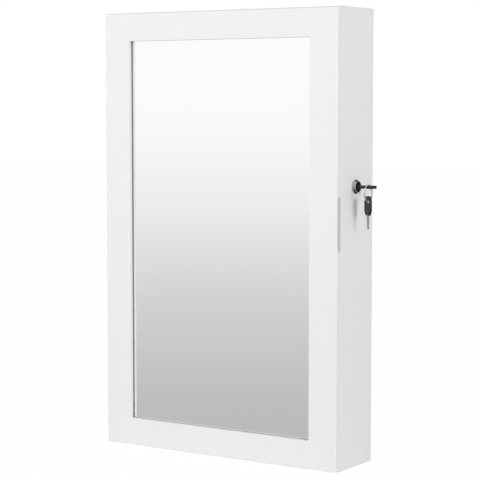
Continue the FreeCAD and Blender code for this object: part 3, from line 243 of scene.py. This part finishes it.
# Dowels: fluted beech pegs, glued in the corners. Only their wood shows, and only when the box is
# taken apart.
beech = new_finish(
    "beech",
    base=lambda where: between(cloud(where, 90, 4, (0.06, 1.0, 1.0)), (0.50, 0.33, 0.18), (0.66, 0.47, 0.29)),
    roughness=0.62,
    normal=lambda where: relief(cloud(where, 500, 3, (0.05, 1.0, 1.0)), 0.00006),
)
dress(beech, "panel_dowels")

# Velvet-covered boards: thin board wrapped in short black pile, glued into the box and on to the door.
black_pile = new_finish(
    "black_pile",
    base=lambda where: between(cloud(where, 55, 3), (0.008, 0.007, 0.009), (0.020, 0.018, 0.022)),
    roughness=0.95,
    normal=lambda where: relief(cloud(where, 1700, 2), 0.0004),
    sheen_weight=0.6,
    sheen_roughness=0.35,
    sheen_tint=(0.30, 0.29, 0.32, 1.0),
)
dress(black_pile, "divider", "upper_right_shelf", "middle_right_shelf", "lower_right_shelf",
      "middle_left_shelf", "lower_left_shelf", "ring_tray", "necklace_rail", "bracelet_rod", "rod_sockets",
      "door_liner", "earring_board", "earring_spacers", "rack_floor", "rack_front", "rack_ends", "back_liner")

# Polished rods and hooks: chromed wire, pushed into holes in the boards and in the necklace rail.
bright_chrome = new_finish("bright_chrome", base=(0.80, 0.80, 0.81, 1.0), metallic=1.0,
                           roughness=lambda where: 0.07 + 0.07 * cloud(where, 220, 3))
dress(bright_chrome, "guard_rods", "necklace_hooks")

# Zinc-plated steel: pressed hinges, bent keeper, keyhole plates, the lock's cam and nut, and all the screws.
bright_zinc = new_finish(
    "bright_zinc",
    base=lambda where: between(cloud(where, 160, 4), (0.50, 0.50, 0.49), (0.66, 0.66, 0.64)),
    metallic=1.0,
    roughness=lambda where: 0.26 + 0.16 * cloud(where, 400, 3),
    normal=lambda where: relief(cloud(where, 1500, 2, (1.0, 1.0, 0.12)), 0.00002),
)
dress(bright_zinc, "lock_nut", "lock_cam", "cam_screw", "keeper", "keeper_rung", "keyhole_plates",
      "keyhole_screws", "hinge_box_leaves", "hinge_door_leaves", "hinge_pins", "hinge_box_screws",
      "hinge_door_screws", "door_fitting_screws", "door_liner_screws", "catch_screws", "catch_plate")

# Magnetic catch: a white moulded case with a ferrite block in its mouth, screwed up into the top panel.
white_moulding = new_finish(
    "white_moulding",
    base=lambda where: between(cloud(where, 120, 2), (0.76, 0.76, 0.75), (0.81, 0.81, 0.80)),
    roughness=0.42,
    normal=lambda where: relief(cloud(where, 1200, 2), 0.00003),
)
dress(white_moulding, "catch_case")
ferrite = new_finish(
    "ferrite",
    base=lambda where: between(cloud(where, 500, 3), (0.030, 0.030, 0.032), (0.060, 0.060, 0.062)),
    roughness=0.6,
    normal=lambda where: relief(cloud(where, 1400, 3), 0.00008),
)
dress(ferrite, "catch_magnet")

# Bumpers: clear soft discs stuck on the door where it meets the box.
clear_bumper = new_finish(
    "clear_bumper",
    base=lambda where: between(cloud(where, 300, 2), (0.72, 0.74, 0.74), (0.80, 0.81, 0.81)),
    roughness=0.25,
)
dress(clear_bumper, "door_bumpers")

# Cam lock: a die-cast housing and plug, copper and nickel under chrome. Its colour is painted darker than
# bare chrome, as painted shade for the dark surroundings the lock reflects.
lock_chrome_painted_dark = new_finish(
    "lock_chrome_painted_dark",
    # painted shade: a base colour darker than bare chrome, standing in for the dark the lock reflects
    base=lambda where: between(cloud(where, 260, 3), (0.30, 0.30, 0.31), (0.48, 0.48, 0.49)),
    metallic=1.0,
    roughness=lambda where: 0.10 + 0.10 * cloud(where, 500, 3),
)
dress(lock_chrome_painted_dark, "lock_housing", "lock_plug")

# Key blades: nickel-plated steel strip, its edge milled.
nickel_strip = new_finish(
    "nickel_strip",
    base=lambda where: between(cloud(where, 300, 3), (0.34, 0.34, 0.34), (0.52, 0.52, 0.51)),
    metallic=1.0,
    roughness=lambda where: 0.20 + 0.15 * cloud(where, 600, 3),
    normal=lambda where: relief(cloud(where, 1800, 2), 0.00002),
)
dress(nickel_strip, "key_blade", "spare_key_blade")

# Key heads: black plastic moulded round the blade's root, with a raised rim, three grip ribs and a slot for
# the ring. One is in the lock, lying level; the other hangs from the ring, turned away from the front.
black_moulding = new_finish(
    "black_moulding",
    base=lambda where: between(cloud(where, 400, 2), (0.006, 0.006, 0.007), (0.014, 0.014, 0.015)),
    roughness=lambda where: 0.30 + 0.12 * cloud(where, 900, 2),
    normal=lambda where: relief(cloud(where, 1600, 2), 0.00004),
)


def rounded_outline(corners, steps=8):
    """Points round a flat shape from its corners (x, y, radius), anticlockwise."""
    points = []
    for number, (x, y, radius) in enumerate(corners):
        here = Vector((x, y))
        before = (Vector(corners[number - 1][:2]) - here).normalized()
        after = (Vector(corners[(number + 1) % len(corners)][:2]) - here).normalized()
        half = before.angle(after) / 2
        middle = here + (before + after).normalized() * (radius / math.sin(half))
        start = here + before * (radius / math.tan(half)) - middle
        turn = math.pi - 2 * half
        for step in range(steps + 1):
            angle = turn * step / steps
            points.append(middle + Vector((start.x * math.cos(angle) - start.y * math.sin(angle),
                                           start.x * math.sin(angle) + start.y * math.cos(angle))))
    return points


def moulded_plate(name, outlines, thickness, edge):
    """A flat plate in mm, its middle at z = 0, its edges rounded by edge; inner outlines are holes."""
    drawing = bpy.data.curves.new(name, "CURVE")
    drawing.dimensions = "2D"
    drawing.fill_mode = "BOTH"
    for outline in outlines:
        line = drawing.splines.new("POLY")
        line.points.add(len(outline) - 1)
        line.use_cyclic_u = True
        for point, (x, y) in zip(line.points, outline):
            point.co = (x, y, 0.0, 1.0)
    drawing.extrude = thickness / 2 - edge
    drawing.offset = -edge
    drawing.bevel_depth = edge
    drawing.bevel_resolution = 2
    stand = bpy.data.objects.new(name, drawing)
    bpy.context.scene.collection.objects.link(stand)
    bpy.context.view_layer.update()
    mesh = bpy.data.meshes.new_from_object(stand.evaluated_get(bpy.context.evaluated_depsgraph_get()))
    bpy.data.objects.remove(stand)
    bpy.data.curves.remove(drawing)
    return mesh


def head_outline(inset, radius, shoulder_radius):
    """The head drawn in from its edge: it widens from its shoulder and is well rounded at its outer end."""
    length, half_width, half_shoulder, widest = 25.0, 9.0, 5.0, 6.0
    lean = inset * 0.75
    corners = [(inset, -half_shoulder + lean, shoulder_radius),
               (widest + lean * 0.4, -half_width + inset, 3.0),
               (length - inset, -half_width + inset, radius),
               (length - inset, half_width - inset, radius),
               (widest + lean * 0.4, half_width - inset, 3.0),
               (inset, half_shoulder - lean, shoulder_radius)]
    return rounded_outline(corners)


slot_outline = rounded_outline([(16.5, -6.4, 1.4), (19.7, -6.4, 1.4), (19.7, 6.4, 1.4), (16.5, 6.4, 1.4)])
head_parts = [
    moulded_plate("web", [head_outline(0.5, 8.0, 0.6), slot_outline], 2.6, 0.2),
    moulded_plate("rim", [head_outline(0.0, 8.6, 0.8), head_outline(1.7, 6.9, 0.5)], 3.6, 0.6),
]
for middle in (6.0, 9.0, 12.0):
    rib = rounded_outline([(middle - 0.6, -5.2, 0.55), (middle + 0.6, -5.2, 0.55), (middle + 0.6, 5.2, 0.55),
                           (middle - 0.6, 5.2, 0.55)])
    head_parts.append(moulded_plate("rib", [rib], 3.4, 0.35))
head_mesh = bpy.data.meshes.new("moulded_head")
head_shape = bmesh.new()
for part in head_parts:
    head_shape.from_mesh(part)
    bpy.data.meshes.remove(part)
bmesh.ops.remove_doubles(head_shape, verts=head_shape.verts, dist=0.001)
bmesh.ops.scale(head_shape, vec=(0.001, 0.001, 0.001), verts=head_shape.verts)
head_shape.to_mesh(head_mesh)
head_shape.free()
head_mesh.materials.clear()
head_mesh.materials.append(black_moulding)
for polygon in head_mesh.polygons:
    polygon.use_smooth = True
    polygon.material_index = 0
head_mesh.set_sharp_from_angle(angle=math.radians(40))

in_lock = Matrix.Translation((0.1902, 0.0, 0.369))
hanging = Matrix.Translation((0.2083, -0.0077, 0.333)) @ Matrix.Rotation(math.radians(-39), 4, "Z") @ Matrix(
    ((0, 1, 0, 0), (0, 0, 1, 0), (1, 0, 0, 0), (0, 0, 0, 1)))
for name, body, node, stand in (("key_head_in_lock", "key_in_lock", "key_head", in_lock),
                                ("spare_head", "spare_key", "spare_key_head", hanging)):
    head = bpy.data.objects.new(name, head_mesh)
    head.matrix_world = stand
    bpy.context.scene.collection.objects.link(head)
    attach(head, body)
    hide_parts(node)

# Key ring: one flat spring wire, nickel-plated, wound round twice, its two coils side by side. Each end lies
# against the step where the wire crosses from one coil to the other.
spring_wire = new_finish(
    "spring_wire",
    base=lambda where: between(cloud(where, 300, 3), (0.86, 0.86, 0.86), (0.95, 0.95, 0.95)),
    metallic=1.0,
    roughness=lambda where: 0.38 + 0.12 * cloud(where, 600, 3),
)
wire_mesh = bpy.data.meshes.new("split_ring")
wire_shape = bmesh.new()
ring_radius = 0.0102
ring_middle = (0.2083, -0.0077, 0.3617)
turns = 2 * math.pi
step_start, step_end, gap = turns - 0.42, turns, 0.03
section = [(x * 0.00047, z * 0.0006) for x, z in (
    (-1, -0.6), (-0.7, -1), (0.7, -1), (1, -0.6), (1, 0.6), (0.7, 1), (-0.7, 1), (-1, 0.6))]
rounds = 190
hoops = []
for number in range(rounds + 1):
    along = gap + (turns + step_start - 2 * gap) * number / rounds
    share = min(max((along - step_start) / (step_end - step_start), 0.0), 1.0)
    aside = -0.0005 + 0.001 * share * share * (3 - 2 * share)
    bearing = along + 2.4
    hoop = []
    for across, outwards in section:
        reach = ring_radius + outwards
        hoop.append(wire_shape.verts.new((ring_middle[0] + aside + across,
                                          ring_middle[1] + reach * math.cos(bearing),
                                          ring_middle[2] + reach * math.sin(bearing))))
    hoops.append(hoop)
for first, second in zip(hoops, hoops[1:]):
    for corner in range(len(section)):
        following = (corner + 1) % len(section)
        wire_shape.faces.new((first[corner], first[following], second[following], second[corner]))
wire_shape.faces.new(reversed(hoops[0]))
wire_shape.faces.new(hoops[-1])
bmesh.ops.recalc_face_normals(wire_shape, faces=wire_shape.faces)
wire_shape.to_mesh(wire_mesh)
wire_shape.free()
for polygon in wire_mesh.polygons:
    polygon.use_smooth = True
wire_mesh.set_sharp_from_angle(angle=math.radians(50))
wire_mesh.materials.append(spring_wire)
split_ring = bpy.data.objects.new("split_ring", wire_mesh)
bpy.context.scene.collection.objects.link(split_ring)
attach(split_ring, "key_ring")
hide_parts("key_ring")

# Ring cushions: foam strips rolled in black velvet and pressed side by side into their tray, so each bulges
# between its neighbours. One is stuffed and pressed, and the others are the same.
roll_radius = 0.0091
roll_length = 0.1400
most_swell = 0.0012
roll_mesh = bpy.data.meshes.new("cushion_roll")
roll_shape = bmesh.new()
bmesh.ops.create_cone(roll_shape, cap_ends=True, segments=40, radius1=roll_radius, radius2=roll_radius,
                      depth=roll_length)
bmesh.ops.rotate(roll_shape, matrix=Matrix.Rotation(math.pi / 2, 3, "Y"), verts=roll_shape.verts)
roll_shape.to_mesh(roll_mesh)
roll_shape.free()
roll = bpy.data.objects.new("stuffed_roll", roll_mesh)
bpy.context.scene.collection.objects.link(roll)
evened = roll.modifiers.new("evened", "REMESH")
evened.mode = "VOXEL"
evened.voxel_size = 0.003
bpy.context.view_layer.update()
roll.data = bpy.data.meshes.new_from_object(roll.evaluated_get(bpy.context.evaluated_depsgraph_get()))
roll.modifiers.clear()
before = [vertex.co.copy() for vertex in roll.data.vertices]
stuffing = roll.modifiers.new("stuffing", "CLOTH")
stuffing.settings.use_pressure = True
stuffing.settings.uniform_pressure_force = 4.0
stuffing.settings.quality = 6
stuffing.settings.effector_weights.gravity = 0.0
stuffing.point_cache.frame_start = 1
stuffing.point_cache.frame_end = 20
for moment in range(1, 21):
    bpy.context.scene.frame_set(moment)
bpy.context.view_layer.update()
swollen = bpy.data.meshes.new_from_object(roll.evaluated_get(bpy.context.evaluated_depsgraph_get()))
roll.modifiers.clear()
for vertex, puffed, start in zip(roll.data.vertices, swollen.vertices, before):
    move = puffed.co - start
    vertex.co = start + move * min(1.0, most_swell / max(move.length, 1e-9))
bpy.data.meshes.remove(swollen)
bpy.context.scene.frame_set(1)
tray_room = 0.00945
tray_end = 0.0714
roll_end = 0.0712
for vertex in roll.data.vertices:
    x, y, z = vertex.co
    reach = math.hypot(y, z)
    room = tray_room - 0.0009 * max(0.0, abs(x) / tray_end - 0.9) * 10
    pinch = min(1.0, room / max(reach, 1e-9))
    vertex.co = (min(max(x, -roll_end), roll_end), y * pinch, z * pinch)
softened = roll.modifiers.new("softened", "SUBSURF")
softened.levels = softened.render_levels = 1
bpy.context.view_layer.update()
stuffed = bpy.data.meshes.new_from_object(roll.evaluated_get(bpy.context.evaluated_depsgraph_get()))
bpy.data.objects.remove(roll)
for polygon in stuffed.polygons:
    polygon.use_smooth = True
stuffed.materials.clear()
stuffed.materials.append(black_pile)
lowest_roll = (0.0970, 0.01744, 0.449857)
roll_pitch = 0.019714
for number in range(7):
    cushion = bpy.data.objects.new(f"ring_cushion_{number + 1}", stuffed)
    cushion.location = (lowest_roll[0], lowest_roll[1], lowest_roll[2] + roll_pitch * number)
    bpy.context.scene.collection.objects.link(cushion)
    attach(cushion, "cabinet")
    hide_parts("ring_cushions")
